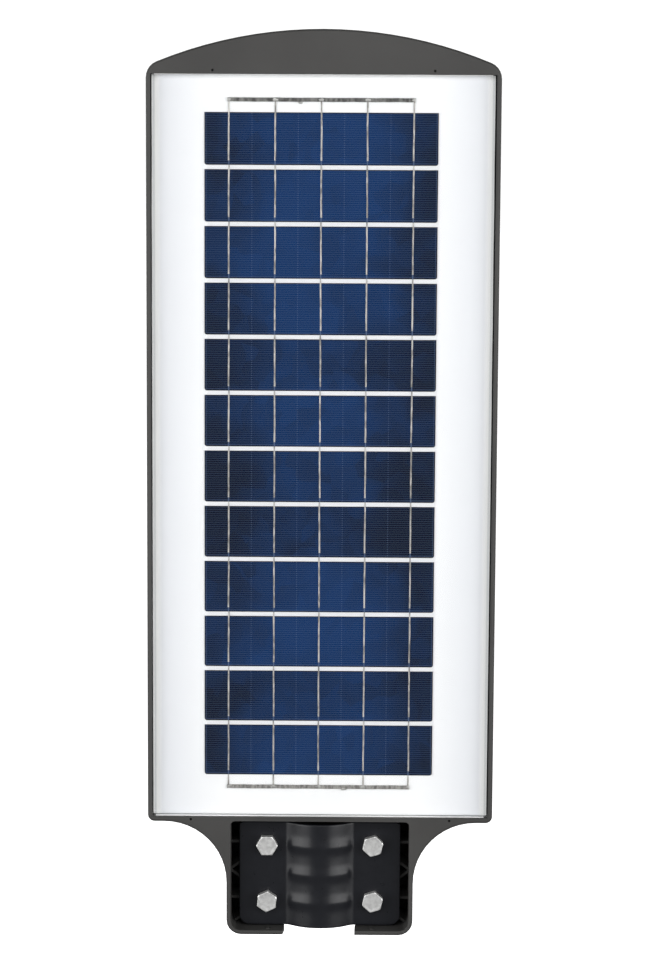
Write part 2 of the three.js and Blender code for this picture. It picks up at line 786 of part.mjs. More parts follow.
function controls() {
  const inside = FLOOR_DEPTH - FIT;
  place(
    "sensor_dome",
    "dome",
    turned(
      [
        [0, inside - 1.2],
        [SENSOR_RADIUS + 2.5, inside - 1.2],
        [SENSOR_RADIUS + 2.5, inside],
        [SENSOR_RADIUS, inside],
        [SENSOR_RADIUS, BODY_DEPTH],
        [SENSOR_RADIUS * 0.93, SENSOR_TOP - 4.6],
        [SENSOR_RADIUS * 0.72, SENSOR_TOP - 2],
        [SENSOR_RADIUS * 0.4, SENSOR_TOP - 0.5],
        [0, SENSOR_TOP],
      ],
      0,
      SENSOR_Z,
      32,
    ),
  );
  const sensorBack = inside - 1.2 - FIT;
  const sensorBoard = block(-18, 18, sensorBack - 1.6, sensorBack, SENSOR_Z - 18, SENSOR_Z + 18);
  place("sensor_board", "greenBoard", sensorBoard);
  const rest = inside - 2.5;
  place(
    "button_cap",
    "button",
    turned(
      [
        [0, rest],
        [BUTTON_RADIUS + 1.2, rest],
        [BUTTON_RADIUS + 1.2, rest + 1],
        [BUTTON_RADIUS, rest + 1],
        [BUTTON_RADIUS, BUTTON_TOP - 0.8],
        [BUTTON_RADIUS - 0.8, BUTTON_TOP],
        [0, BUTTON_TOP],
      ],
      BUTTON_X,
      SENSOR_Z,
      24,
    ),
  );
  const switchTop = rest - 2;
  place(
    "switch_body",
    "blackPlastic",
    joined(
      solid(block(BUTTON_X - 6, BUTTON_X + 6, switchTop - 5, switchTop, SENSOR_Z - 6, SENSOR_Z + 6)),
      solid(block(BUTTON_X - 9, BUTTON_X + 9, switchTop - 6.6, switchTop - 5, SENSOR_Z - 9, SENSOR_Z + 9)),
    ),
  );
  place(
    "indicator_lens",
    "indicator",
    turned(
      [
        [0, inside - 1.5],
        [INDICATOR_RADIUS + 1, inside - 1.5],
        [INDICATOR_RADIUS + 1, inside],
        [INDICATOR_RADIUS, inside],
        [INDICATOR_RADIUS, BODY_DEPTH + 0.4],
        [INDICATOR_RADIUS * 0.6, BODY_DEPTH + 1.1],
        [0, BODY_DEPTH + 1.3],
      ],
      INDICATOR_X,
      SENSOR_Z,
      16,
    ),
  );
}

// ---------- battery and controller ----------

function battery() {
  const half = (BATTERY_COUNT * BATTERY_PITCH) / 2 + 1;
  const tray = moved(plateOutline(half, -38, 38, 2), BATTERY_X, BATTERY_Z);
  const well = moved(plateOutline(half - 2, -36, 36, 1), BATTERY_X, BATTERY_Z);
  const base = BATTERY_AXIS_DEPTH + BATTERY_RADIUS + FIT;
  place(
    "battery_holder",
    "blackPlastic",
    cut(solid(slab(tray, BATTERY_AXIS_DEPTH - 2, BOARD_BACK)), solid(slab(well, 0, base))),
  );
  for (let i = 0; i < BATTERY_COUNT; i += 1) {
    const x = BATTERY_X + (i - (BATTERY_COUNT - 1) / 2) * BATTERY_PITCH * 0.97;
    const can = new THREE.LatheGeometry(
      [
        [0, -BATTERY_LENGTH / 2],
        [BATTERY_RADIUS, -BATTERY_LENGTH / 2],
        [BATTERY_RADIUS, BATTERY_LENGTH / 2 - 1.5],
        [2.8, BATTERY_LENGTH / 2 - 1.5],
        [2.8, BATTERY_LENGTH / 2],
        [0, BATTERY_LENGTH / 2],
      ].map(([radius, height]) => new THREE.Vector2(radius, height)),
      16,
    );
    can.rotateX(Math.PI / 2);
    can.translate(x, yAt(BATTERY_AXIS_DEPTH), BATTERY_Z);
    place(`battery_cell_${i + 1}`, "battery", can);
  }
}

function controller() {
  const thick = 1.6;
  const front = BOARD_BACK - thick;
  const board = solid(
    block(CONTROLLER_X - 27, CONTROLLER_X + 27, front, BOARD_BACK, BATTERY_Z - 30, BATTERY_Z + 30),
  );
  const coil = solid(slab(disc(8, CONTROLLER_X - 12, BATTERY_Z + 14, 16), front - 9, front + 0.5));
  const chip = solid(
    block(CONTROLLER_X, CONTROLLER_X + 12, front - 2, front + 0.5, BATTERY_Z + 4, BATTERY_Z + 16),
  );
  const terminals = solid(
    block(CONTROLLER_X - 20, CONTROLLER_X + 20, front - 9, front + 0.5, BATTERY_Z - 26, BATTERY_Z - 16),
  );
  place("controller_board", "greenBoard", joined(board, coil, chip, terminals));
}

housing();
panel();
cellString();
ribbons();
clampPlate();
clampBolts();
clampNuts();
ledModules();
controls();
battery();
controller();

export default lamp;
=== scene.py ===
"""Solar street lamp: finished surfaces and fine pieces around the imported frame.

Everything is in metres in the row frame: +Z from the pole end to the nose, -Y out of the panel.
"""
import json
import math

import bmesh
import bpy
from mathutils import Matrix, Vector


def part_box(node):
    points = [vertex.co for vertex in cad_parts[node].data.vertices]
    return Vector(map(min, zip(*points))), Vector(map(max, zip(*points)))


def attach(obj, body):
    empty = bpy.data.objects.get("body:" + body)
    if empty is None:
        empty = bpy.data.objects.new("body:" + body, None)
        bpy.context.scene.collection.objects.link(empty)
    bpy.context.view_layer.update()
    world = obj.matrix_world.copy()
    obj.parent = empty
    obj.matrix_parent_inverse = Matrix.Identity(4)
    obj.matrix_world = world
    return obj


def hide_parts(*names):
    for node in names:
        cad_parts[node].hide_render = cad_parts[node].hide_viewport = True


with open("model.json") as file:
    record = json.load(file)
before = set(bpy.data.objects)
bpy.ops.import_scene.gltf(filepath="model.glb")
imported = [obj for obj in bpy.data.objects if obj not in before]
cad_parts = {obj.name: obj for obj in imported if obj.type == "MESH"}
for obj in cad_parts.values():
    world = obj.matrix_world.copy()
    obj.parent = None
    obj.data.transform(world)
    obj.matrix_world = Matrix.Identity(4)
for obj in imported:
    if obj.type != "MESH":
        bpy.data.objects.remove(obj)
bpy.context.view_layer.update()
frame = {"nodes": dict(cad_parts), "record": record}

MM = 0.001

# ---------- places taken from the frame ----------

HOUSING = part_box("housing")
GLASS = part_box("panel_glass")
CELL_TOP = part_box("solar_cell_01")
CELL_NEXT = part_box("solar_cell_02")
CELL_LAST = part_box("solar_cell_12")
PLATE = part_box("clamp_plate")


def nodes_named(start):
    return sorted(name for name in frame["nodes"] if name.startswith(start))


CELL_NODES = nodes_named("solar_cell_")
TAB_NODES = nodes_named("tab_ribbon_")
BOLT_NODES = nodes_named("clamp_bolt_")
NUT_NODES = nodes_named("clamp_nut_")
LENS_NODES = nodes_named("lens_plate_")
BOARD_NODES = nodes_named("led_board_")
SCREW_NODES = nodes_named("lens_screw_")

# The pocket is part of the housing node, so its half width stands here as a measure.
POCKET_HALF_WIDTH = 115.6 * MM
CELL_PITCH = CELL_TOP[0].z - CELL_NEXT[0].z
CELL_HEIGHT = CELL_TOP[1].z - CELL_TOP[0].z
CELL_MIDDLE_X = (CELL_TOP[0].x + CELL_TOP[1].x) / 2
TAB_XS = [(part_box(name)[0].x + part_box(name)[1].x) / 2 for name in TAB_NODES]


def middle(box):
    return (box[0] + box[1]) / 2


# ---------- node trees ----------


class Surface:
    """A material with a Principled shader, and short ways to add nodes to it."""

    def __init__(self, name, colour, roughness, metallic=0.0, specular=0.5):
        self.material = bpy.data.materials.new(name)
        self.material.use_nodes = True
        self.tree = self.material.node_tree
        self.shader = self.tree.nodes["Principled BSDF"]
        self.output = self.tree.nodes["Material Output"]
        self.shader.inputs["Base Color"].default_value = (*colour, 1)
        self.shader.inputs["Roughness"].default_value = roughness
        self.shader.inputs["Metallic"].default_value = metallic
        self.shader.inputs["Specular IOR Level"].default_value = specular
        self.place = self.node("ShaderNodeTexCoord").outputs["Object"]
        self.normal = None

    def node(self, kind, **settings):
        made = self.tree.nodes.new(kind)
        for key, value in settings.items():
            setattr(made, key, value)
        return made

    def link(self, source, target):
        self.tree.links.new(source, target)

    def scaled(self, x, y, z):
        mapping = self.node("ShaderNodeMapping")
        self.link(self.place, mapping.inputs["Vector"])
        mapping.inputs["Scale"].default_value = (x, y, z)
        return mapping.outputs["Vector"]

    def noise(self, scale, detail, rough=0.5, vector=None, distortion=0.0):
        made = self.node("ShaderNodeTexNoise")
        self.link(vector or self.place, made.inputs["Vector"])
        made.inputs["Scale"].default_value = scale
        made.inputs["Detail"].default_value = detail
        made.inputs["Roughness"].default_value = rough
        made.inputs["Distortion"].default_value = distortion
        return made.outputs["Fac"]

    def voronoi(self, scale, output, vector=None, feature="F1", randomness=1.0):
        made = self.node("ShaderNodeTexVoronoi", feature=feature)
        self.link(vector or self.place, made.inputs["Vector"])
        made.inputs["Scale"].default_value = scale
        made.inputs["Randomness"].default_value = randomness
        return made.outputs[output]

    def math(self, operation, first, second=0.0):
        made = self.node("ShaderNodeMath", operation=operation)
        for socket, value in zip(made.inputs, (first, second)):
            if isinstance(value, (int, float)):
                socket.default_value = value
            else:
                self.link(value, socket)
        return made.outputs[0]

    def ramp(self, value, low, high, low_out=0.0, high_out=1.0):
        made = self.node("ShaderNodeMapRange", interpolation_type="SMOOTHSTEP")
        self.link(value, made.inputs["Value"])
        made.inputs["From Min"].default_value = low
        made.inputs["From Max"].default_value = high
        made.inputs["To Min"].default_value = low_out
        made.inputs["To Max"].default_value = high_out
        return made.outputs["Result"]

    def axis(self, name):
        split = self.node("ShaderNodeSeparateXYZ")
        self.link(self.place, split.inputs[0])
        return split.outputs[name]

    def mix(self, factor, first, second):
        made = self.node("ShaderNodeMix", data_type="RGBA")
        self.link(factor, made.inputs["Factor"])
        for socket, value in ((made.inputs["A"], first), (made.inputs["B"], second)):
            if isinstance(value, tuple):
                socket.default_value = (*value, 1)
            else:
                self.link(value, socket)
        return made.outputs["Result"]

    def colour(self, source):
        self.link(source, self.shader.inputs["Base Color"])

    def roughness(self, source):
        self.link(source, self.shader.inputs["Roughness"])

    def bump(self, height, distance, strength=1.0):
        made = self.node("ShaderNodeBump")
        made.inputs["Distance"].default_value = distance
        made.inputs["Strength"].default_value = strength
        self.link(height, made.inputs["Height"])
        if self.normal is not None:
            self.link(self.normal, made.inputs["Normal"])
        self.normal = made.outputs["Normal"]
        self.link(self.normal, self.shader.inputs["Normal"])

    def mirror_share(self, straight_on):
        """How much of the light a clear face mirrors: least straight on, all of it edge on."""
        weight = self.node("ShaderNodeLayerWeight")
        weight.inputs["Blend"].default_value = 0.5
        steep = self.math("POWER", weight.outputs["Facing"], 5.0)
        return self.math("ADD", self.math("MULTIPLY", steep, 1 - straight_on), straight_on)


def shade(colour, factor):
    return tuple(min(1.0, channel * factor) for channel in colour)


# ---------- materials ----------


def moulded(name, colour, roughness, specular=0.5, grain=1800, depth=0.03 * MM):
    """Injection-moulded plastic: a spark-eroded grain and a faint cloudiness."""
    variation, gloss_range = 0.12, 0.07
    made = Surface(name, colour, roughness, specular=specular)
    cloud = made.noise(14, detail=4)
    low, high = shade(colour, 1 - variation), shade(colour, 1 + variation)
    made.colour(made.mix(made.ramp(cloud, 0.3, 0.7), low, high))
    fine = made.noise(grain, detail=2)
    made.roughness(made.ramp(fine, 0.2, 0.8, roughness - gloss_range, roughness + gloss_range))
    made.bump(fine, depth)
    return made.material


def clamp_nylon():
    """Black glass-filled nylon: satin, with a slight mottle from the fibres."""
    colour = (0.0098, 0.0104, 0.0128)
    made = Surface("clamp_nylon", colour, 0.28, specular=0.26)
    mottle = made.noise(160, detail=5, rough=0.6)
    made.colour(made.mix(made.ramp(mottle, 0.3, 0.7), shade(colour, 0.94), shade(colour, 1.08)))
    fine = made.noise(2400, detail=2)
    made.roughness(made.ramp(mottle, 0.2, 0.8, 0.27, 0.3))
    made.bump(fine, 0.01 * MM)
    return made.material


def plated_steel():
    """Zinc-plated fastener steel: bright, slightly uneven, with tumbling marks."""
    colour = (0.72, 0.72, 0.71)
    made = Surface("plated_steel", colour, 0.45, metallic=0.8)
    cloud = made.noise(420, detail=4, rough=0.6)
    made.colour(made.mix(made.ramp(cloud, 0.3, 0.7), shade(colour, 0.9), shade(colour, 1.06)))
    made.roughness(made.ramp(cloud, 0.25, 0.75, 0.36, 0.48))
    made.bump(made.noise(1500, detail=3), 0.02 * MM)
    return made.material


def cover_glass():
    """Clear cover glass: see-through straight on, a mirror edge on."""
    made = Surface("cover_glass", (1, 1, 1), 0.05)
    made.tree.nodes.remove(made.shader)
    clear = made.node("ShaderNodeBsdfTransparent")
    clear.inputs["Color"].default_value = (0.993, 0.996, 0.996, 1)
    gloss = made.node("ShaderNodeBsdfGlossy")
    gloss.inputs["Roughness"].default_value = 0.06
    blend = made.node("ShaderNodeMixShader")
    made.link(made.mirror_share(0.012), blend.inputs[0])
    made.link(clear.outputs[0], blend.inputs[1])
    made.link(gloss.outputs[0], blend.inputs[2])
    made.link(blend.outputs[0], made.output.inputs["Surface"])
    return made.material


def backsheet_film():
    """White laminated film with a faint pebble; near each side edge, painted light lightens it and
    a painted shade band greys it where the side rims' shadow falls.
    """
    white, margin, between = (0.83, 0.83, 0.835), (0.70, 0.708, 0.735), (0.72, 0.72, 0.74)
    lit, rim_shade_grey = (0.93, 0.93, 0.92), (0.76, 0.77, 0.77)
    rim_shade_starts, rim_shade_ends, lit_fades = (0.7 * MM, 1.0 * MM), (1.7 * MM, 2.4 * MM), (2 * MM, 7 * MM)
    margin_starts = (62 * MM, 108 * MM)
    grid_half_width, grid_past_cells, grid_soft = 79 * MM, 1 * MM, 2 * MM
    made = Surface("backsheet_film", white, 0.6, specular=0.3)
    half_x = (GLASS[1].x - GLASS[0].x) / 2
    from_centre = made.math("ABSOLUTE", made.axis("X"))
    from_side = made.math("SUBTRACT", half_x, from_centre)
    # Painted shade: a grey band about 0.7 to 2.4 mm inside each side edge, where the side rims'
    # shadow falls.
    rim_shade_band = made.math(
        "MULTIPLY",
        made.ramp(from_side, *rim_shade_starts),
        made.ramp(from_side, *rim_shade_ends, 1.0, 0.0),
    )
    cloud = made.mix(made.ramp(made.noise(9, detail=2), 0.35, 0.65), shade(white, 0.985), white)
    plain = made.mix(made.ramp(from_centre, *margin_starts), cloud, margin)
    inside = made.math("SUBTRACT", CELL_TOP[1].z + grid_past_cells, made.axis("Z"))
    above = made.math("SUBTRACT", made.axis("Z"), CELL_LAST[0].z - grid_past_cells)
    beside = made.math("SUBTRACT", grid_half_width, from_centre)
    grid = made.math("MINIMUM", made.math("MINIMUM", inside, above), beside)
    film = made.mix(made.ramp(grid, 0.0, grid_soft), plain, between)
    # Painted light: the film lighter within about 2 to 7 mm of each side edge, for the glass edge's
    # glow and to lift the side rims' shade.
    lit_edge = made.mix(made.ramp(from_side, *lit_fades), lit, film)
    made.colour(made.mix(rim_shade_band, lit_edge, rim_shade_grey))
    made.bump(made.noise(500, detail=2), 0.02 * MM, 0.3)
    return made.material


def stripes(made, value, pitch, width, soft):
    """1 on thin lines that repeat at a pitch along value, 0 between them."""
    turns = made.math("DIVIDE", value, pitch)
    part = made.math("SUBTRACT", turns, made.math("ROUND", turns))
    gap = made.math("MULTIPLY", made.math("ABSOLUTE", part), pitch)
    return made.ramp(gap, width / 2 - soft, width / 2 + soft, 1.0, 0.0)


def silicon():
    """Multicrystalline cell: blue grains under a coat, with printed fingers and busbars."""
    finger_pitch, finger_width = 1.483 * MM, 0.42 * MM
    busbar_width, dash_width = 0.8 * MM, 0.5 * MM
    frame_inset, frame_width, frame_soft = 0.9 * MM, 0.3 * MM, 0.15 * MM
    grain_share, broad_share, wafer_share = 0.22, 0.38, 0.3
    darkest, bluest = (0.0034, 0.0064, 0.0170), (0.0056, 0.0290, 0.104)
    silver_tint, cut_tint = (0.075, 0.108, 0.185), (0.002, 0.003, 0.009)
    made = Surface("silicon", (0.006, 0.02, 0.065), 0.3, specular=0.03)
    across = made.math("SUBTRACT", made.axis("X"), CELL_MIDDLE_X)
    from_middle = made.math("ABSOLUTE", across)

    warp = made.noise(30, detail=2)
    bent = made.node("ShaderNodeVectorMath", operation="MULTIPLY_ADD")
    made.link(warp, bent.inputs[0])
    bent.inputs[1].default_value = (0.02, 0, 0.02)
    made.link(made.place, bent.inputs[2])
    grains = made.voronoi(75, output="Color", vector=bent.outputs[0])
    grain = made.node("ShaderNodeSeparateColor")
    made.link(grains, grain.inputs[0])
    broad = made.noise(16, detail=3, distortion=0.6)

    # Each strip is cut from its own wafer, so its blue differs from the next strip's.
    rise = made.math("SUBTRACT", made.axis("Z"), CELL_LAST[0].z)
    strip = made.math("FLOOR", made.math("DIVIDE", rise, CELL_PITCH))
    wafer = made.node("ShaderNodeTexWhiteNoise", noise_dimensions="1D")
    made.link(strip, wafer.inputs["W"])
    parts = (
        made.math("MULTIPLY", grain.outputs["Red"], grain_share),
        made.math("MULTIPLY", made.ramp(broad, 0.3, 0.7), broad_share),
        made.math("MULTIPLY", wafer.outputs["Value"], wafer_share),
        # Painted light: the cells lighter in the middle columns and darker towards the sides, as
        # the light falls across the panel.
        made.ramp(from_middle, 20 * MM, 80 * MM, 0.38, -0.2),
        # Darker from about 200 to 285 mm above the lowest strip's lower edge, lighter above 320 mm.
        made.ramp(rise, 285 * MM, 320 * MM, -0.14, 0.14),
        made.ramp(rise, 110 * MM, 200 * MM, 0.16, 0.0),
    )
    tone_with_painted_light = parts[0]
    for part in parts[1:]:
        tone_with_painted_light = made.math("ADD", tone_with_painted_light, part)
    base = made.mix(made.ramp(tone_with_painted_light, 0.08, 1.2), darkest, bluest)

    # Silver printing: thin fingers, a bar under each ribbon, a frame near the cut edges.
    local = made.math("SUBTRACT", rise, made.math("MULTIPLY", strip, CELL_PITCH))
    fingers = stripes(made, local, finger_pitch, finger_width, 0.2 * MM)
    from_tab = made.math("SUBTRACT", made.axis("X"), TAB_XS[0])
    tab_pitch = TAB_XS[1] - TAB_XS[0]
    bars = stripes(made, from_tab, tab_pitch, busbar_width, 0.08 * MM)
    half_way = made.math("ADD", from_tab, tab_pitch / 2)
    half_way_bars = stripes(made, half_way, tab_pitch, dash_width, 0.1 * MM)
    dashes = made.math("MULTIPLY", half_way_bars, fingers)
    edge = made.math(
        "MINIMUM",
        made.math("SUBTRACT", (CELL_TOP[1].x - CELL_TOP[0].x) / 2, from_middle),
        local,
    )
    frame_end = frame_inset + frame_width
    rim = made.math(
        "MULTIPLY",
        made.ramp(edge, frame_inset - frame_soft, frame_inset),
        made.ramp(edge, frame_end, frame_end + frame_soft, 1.0, 0.0),
    )
    inside = made.ramp(edge, frame_inset, frame_inset + 0.2 * MM)
    lines = made.math("MULTIPLY", fingers, inside)
    thin = made.math("ADD", made.math("MULTIPLY", lines, 0.3), made.math("MULTIPLY", dashes, 0.9))
    wide = made.math("MAXIMUM", made.math("MULTIPLY", bars, 0.9), made.math("MULTIPLY", rim, 0.4))
    silver = made.math("MAXIMUM", thin, wide)
    cut = made.math("MINIMUM", edge, made.math("SUBTRACT", CELL_HEIGHT, local))
    dark_edge = made.mix(made.ramp(cut, 0.3 * MM, 0.9 * MM), cut_tint, base)
    made.colour(made.mix(silver, dark_edge, silver_tint))
    made.roughness(made.ramp(tone_with_painted_light, 0.1, 1.2, 0.34, 0.24))
    return made.material


def tinned_ribbon(name, colour, spread_low, spread_high):
    """Solder-dipped copper ribbon: grey with bright smears."""
    made = Surface(name, colour, 0.42, metallic=0.6)
    smear = made.noise(1, detail=4, rough=0.65, vector=made.scaled(500, 500, 160))
    low, high = shade(colour, spread_low), shade(colour, spread_high)
    made.colour(made.mix(made.ramp(smear, 0.35, 0.65), low, high))
    made.roughness(made.ramp(smear, 0.3, 0.7, 0.5, 0.3))
    made.bump(smear, 0.06 * MM)
    return made.material


def clear_polycarbonate():
    """Clear moulded lens plate: mostly see-through, glossy, a little milky edge on."""
    made = Surface("clear_polycarbonate", (0.86, 0.89, 0.91), 0.12)
    clear = made.node("ShaderNodeBsdfTransparent")
    clear.inputs["Color"].default_value = (0.93, 0.95, 0.96, 1)
    gloss = made.node("ShaderNodeBsdfGlossy")
    gloss.inputs["Roughness"].default_value = 0.08
    steep = made.node("ShaderNodeLayerWeight")
    steep.inputs["Blend"].default_value = 0.5
    milky = made.node("ShaderNodeMixShader")
    share = made.ramp(steep.outputs["Facing"], 0.0, 0.9, 0.07, 0.5)
    made.link(share, milky.inputs[0])
    made.link(clear.outputs[0], milky.inputs[1])
    made.link(made.shader.outputs[0], milky.inputs[2])
    blend = made.node("ShaderNodeMixShader")
    made.link(made.mirror_share(0.045), blend.inputs[0])
    made.link(milky.outputs[0], blend.inputs[1])
    made.link(gloss.outputs[0], blend.inputs[2])
    made.link(blend.outputs[0], made.output.inputs["Surface"])
    fine = made.noise(260, detail=2)
    made.bump(fine, 0.04 * MM, 0.4)
    made.link(made.normal, gloss.inputs["Normal"])
    return made.material


def white_board():
    """White solder mask on an aluminium board, with faint tracks under it."""
    made = Surface("white_board", (0.80, 0.80, 0.775), 0.45)
    tracks = made.voronoi(70, output="Distance", feature="DISTANCE_TO_EDGE", randomness=0.15)
    mask = made.ramp(tracks, 0.02, 0.06)
    made.colour(made.mix(mask, (0.66, 0.66, 0.62), (0.82, 0.82, 0.80)))
    made.bump(mask, 0.04 * MM)
    return made.material


def green_board():
    """Green solder mask with copper tracks, which also give the bump."""
    made = Surface("green_board", (0.02, 0.10, 0.045), 0.4)
    tracks = made.voronoi(220, output="Distance", feature="DISTANCE_TO_EDGE", randomness=0.35)
    mask = made.ramp(tracks, 0.03, 0.1)
    made.colour(made.mix(mask, (0.05, 0.17, 0.07), (0.015, 0.085, 0.035)))
    made.bump(mask, 0.05 * MM)
    return made.material


def phosphor():
    """Yellow phosphor under clear resin."""
    made = Surface("phosphor", (0.80, 0.62, 0.10), 0.25)
    spots = made.noise(1200, detail=2)
    made.colour(made.mix(made.ramp(spots, 0.3, 0.7), (0.74, 0.52, 0.06), (0.86, 0.70, 0.16)))
    made.bump(spots, 0.03 * MM)
    return made.material


def fresnel_dome():
    """Milky polyethylene with moulded lens cells."""
    made = Surface("fresnel_dome", (0.74, 0.74, 0.70), 0.4)
    made.shader.inputs["Subsurface Weight"].default_value = 0.25
    made.shader.inputs["Subsurface Radius"].default_value = (4 * MM, 4 * MM, 4 * MM)
    cells = made.voronoi(260, output="Distance", feature="DISTANCE_TO_EDGE", randomness=0.25)
    made.colour(made.mix(made.ramp(cells, 0.0, 0.08), (0.60, 0.60, 0.56), (0.78, 0.78, 0.74)))
    made.bump(made.ramp(cells, 0.0, 0.12), 0.3 * MM)
    return made.material


MATERIALS = {
    "housing": moulded("housing_plastic", (0.0360, 0.0352, 0.0338), 0.6, specular=0.4),
    "clamp": clamp_nylon(),
    "steel": plated_steel(),
    "glass": cover_glass(),
    "backsheet": backsheet_film(),
    "solar_cell": silicon(),
    "ribbon": tinned_ribbon("tinned_ribbon", (0.31, 0.30, 0.285), 0.6, 1.5),
    "lens": clear_polycarbonate(),
    "led_board": white_board(),
    "circuit_board": green_board(),
    "black_plastic": moulded("black_plastic", (0.012, 0.013, 0.014), 0.5),
    "seal": moulded("silicone_seal", (0.020, 0.020, 0.022), 0.75, grain=900, depth=0.05 * MM),
    "battery": moulded("shrink_sleeve", (0.05, 0.20, 0.45), 0.35, grain=300, depth=0.05 * MM),
    "sensor_dome": fresnel_dome(),
    "indicator": moulded("light_pipe", (0.35, 0.65, 0.38), 0.25, grain=700),
    "button": moulded("silicone_button", (0.42, 0.035, 0.028), 0.6, grain=1200),
    "phosphor": phosphor(),
    "bus": tinned_ribbon("bus_ribbon", (0.155, 0.152, 0.145), 0.4, 1.7),
    "solder": tinned_ribbon("solder", (0.44, 0.435, 0.42), 0.7, 1.2),
    # Painted shade: the black of the shadowed gap beside the glass, drawn as strips in the gap.
    "gap_shadow": moulded("painted_gap_shadow_black", (0.006, 0.006, 0.007), 0.7, specular=0.2, grain=900),
    # Painted light: white for the glowing glass edge, on strips that fill the shadowed gap above
    # and below the glass.
    "gap_glow": moulded("painted_gap_glow_white", (0.86, 0.86, 0.86), 0.5, grain=500),
}


# ---------- pieces ----------


def smooth_by_angle(mesh, degrees):
    for face in mesh.polygons:
        face.use_smooth = True
    mesh.set_sharp_from_angle(angle=math.radians(degrees))


def add_piece(name, bm, body, slot, replaces=(), material=None, angle=32):
    """Makes the bmesh an object that rides on a body, with its finish."""
    mesh = bpy.data.meshes.new(name)
    bmesh.ops.recalc_face_normals(bm, faces=bm.faces)
    bm.to_mesh(mesh)
    bm.free()
    smooth_by_angle(mesh, angle)
    mesh.materials.append(material or MATERIALS[slot])
    piece = bpy.data.objects.new(name, mesh)
    bpy.context.scene.collection.objects.link(piece)
    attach(piece, body)
    if replaces:
        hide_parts(*replaces)
    return piece


def refined(name, node, body, slot, bevel, angle=30):
    """The CAD node's solid with its flat facets joined and its edges rounded."""
    bm = bmesh.new()
    bm.from_mesh(frame["nodes"][node].data)
    bmesh.ops.remove_doubles(bm, verts=bm.verts, dist=1e-6)
    bmesh.ops.dissolve_limit(
        bm,
        angle_limit=math.radians(0.4),
        verts=bm.verts,
        edges=bm.edges,
        use_dissolve_boundaries=False,
    )
    piece = add_piece(name, bm, body, slot, replaces=(node,), angle=angle)
    rounding = piece.modifiers.new("rounding", "BEVEL")
    rounding.width = bevel
    rounding.segments = 2
    rounding.limit_method = "ANGLE"
    rounding.angle_limit = math.radians(angle)
    rounding.harden_normals = False
    rounding.use_clamp_overlap = True
    even = piece.modifiers.new("even_shading", "WEIGHTED_NORMAL")
    even.keep_sharp = True
    even.weight = 60


def join_rings(bm, rings):
    """Walls between one ring of points and the next, and a face on each end."""
    for a, b in zip(rings, rings[1:]):
        for i in range(len(a)):
            j = (i + 1) % len(a)
            bm.faces.new((a[i], a[j], b[j], b[i]))
    bm.faces.new(rings[0])
    bm.faces.new(rings[-1])


def sheet_grid(xs, zs_at, front, back):
    """A closed plate: a grid of front points and one of back points, joined round their edge."""
    bm = bmesh.new()
    rows = len(zs_at(xs[0]))
    layers = []
    for surface in (front, back):
        layer = []
        for x in xs:
            layer.append([bm.verts.new((x, surface(x, z), z)) for z in zs_at(x)])
        layers.append(layer)
    for layer in layers:
        for i in range(len(xs) - 1):
            for j in range(rows - 1):
                bm.faces.new(
                    (layer[i][j], layer[i + 1][j], layer[i + 1][j + 1], layer[i][j + 1])
                )
    fore, aft = layers
    for i in range(len(xs) - 1):
        for j in (0, rows - 1):
            bm.faces.new((fore[i][j], fore[i + 1][j], aft[i + 1][j], aft[i][j]))
    for j in range(rows - 1):
        for i in (0, len(xs) - 1):
            bm.faces.new((fore[i][j], fore[i][j + 1], aft[i][j + 1], aft[i][j]))
    return bm


def polar_solid(radii, depths, steps, centre):
    """A closed solid of rings round a centre; each ring's radius and depth vary with angle."""
    bm = bmesh.new()
    rings = []
    for ring in range(len(radii)):
        points = []
        for step in range(steps):
            angle = 2 * math.pi * step / steps
            r = radii[ring](angle)
            x, z = centre.x + r * math.cos(angle), centre.z + r * math.sin(angle)
            points.append(bm.verts.new((x, depths[ring](angle), z)))
        rings.append(points)
    join_rings(bm, rings)
    return bm


def plate_from(points, front, back):
    """A flat piece with an outline of (x, z) points between two depths."""
    bm = bmesh.new()
    fore = [bm.verts.new((x, front, z)) for x, z in points]
    aft = [bm.verts.new((x, back, z)) for x, z in points]
    bm.faces.new(fore)
    bm.faces.new(list(reversed(aft)))
    for i in range(len(points)):
        j = (i + 1) % len(points)
        bm.faces.new((fore[i], aft[i], aft[j], fore[j]))
    return bm


def add_box(bm, x, y, z, width, depth, height):
    scale = Matrix.Diagonal((width, depth, height, 1))
    made = bmesh.ops.create_cube(bm, size=1, matrix=Matrix.Translation((x, y, z)) @ scale)
    edges = {edge for vert in made["verts"] for edge in vert.link_edges}
    bmesh.ops.bevel(
        bm,
        geom=list(edges),
        offset=min(width, depth, height) * 0.15,
        segments=2,
        affect="EDGES",
        profile=0.5,
    )


def spread(low, high, step):
    count = max(1, round((high - low) / step))
    return [low + (high - low) * i / count for i in range(count + 1)]


def edge_steps(radius):
    return [0.0, 0.12 * radius, 0.35 * radius, 0.65 * radius, radius]


# ---------- clamp plate ----------


